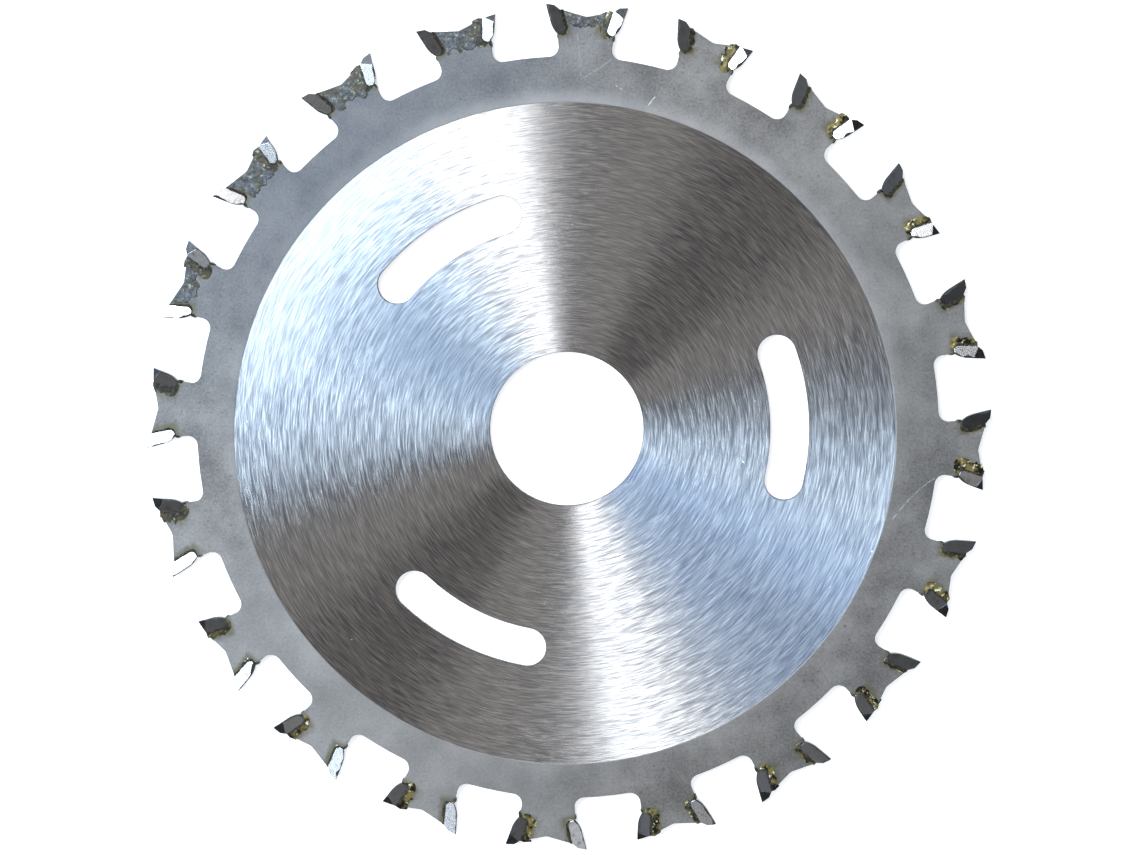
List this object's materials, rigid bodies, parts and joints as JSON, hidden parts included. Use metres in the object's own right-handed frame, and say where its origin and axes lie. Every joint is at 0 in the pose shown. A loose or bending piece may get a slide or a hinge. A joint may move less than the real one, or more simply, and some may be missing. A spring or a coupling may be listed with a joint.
{
  "type": "angle grinder carving disc",
  "caption": "Flat two-way carving disc for an angle grinder, with brazed carbide tips on the rim, a plain centre bore and curved expansion slots.",
  "frame": {"origin": "middle of the bore, halfway through the plate", "axes": "+Z along the bore axis, out of the face that shows; +X and +Y in the plane of the plate"},
  "size_m": [0.1098, 0.1098, 0.0018],
  "materials": {
    "blade_steel": "circular ground middle, matt blasted rim",
    "carbide": "ground tungsten carbide",
    "braze": "dull run braze with flux stains"
  },
  "bodies": {
    "root": {"steel_plate": "blade_steel", "tip_ccw_01": "carbide", "tip_ccw_02": "carbide", "tip_ccw_03": "carbide", "tip_ccw_04": "carbide", "tip_ccw_05": "carbide", "tip_ccw_06": "carbide", "tip_ccw_07": "carbide", "tip_ccw_08": "carbide", "tip_ccw_09": "carbide", "tip_ccw_10": "carbide", "tip_ccw_11": "carbide", "tip_ccw_12": "carbide", "tip_ccw_13": "carbide", "tip_ccw_14": "carbide", "tip_ccw_15": "carbide", "tip_ccw_16": "carbide", "tip_ccw_17": "carbide", "tip_ccw_18": "carbide", "tip_ccw_19": "carbide", "tip_ccw_20": "carbide", "tip_cw_01": "carbide", "tip_cw_02": "carbide", "tip_cw_03": "carbide", "tip_cw_04": "carbide", "tip_cw_05": "carbide", "tip_cw_06": "carbide", "tip_cw_07": "carbide", "tip_cw_08": "carbide", "tip_cw_09": "carbide", "tip_cw_10": "carbide", "tip_cw_11": "carbide", "tip_cw_12": "carbide", "tip_cw_13": "carbide", "tip_cw_14": "carbide", "tip_cw_15": "carbide", "tip_cw_16": "carbide", "tip_cw_17": "carbide", "tip_cw_18": "carbide", "tip_cw_19": "carbide", "tip_cw_20": "carbide", "braze_ccw": "braze", "braze_cw": "braze"}
  },
  "joints": []
}
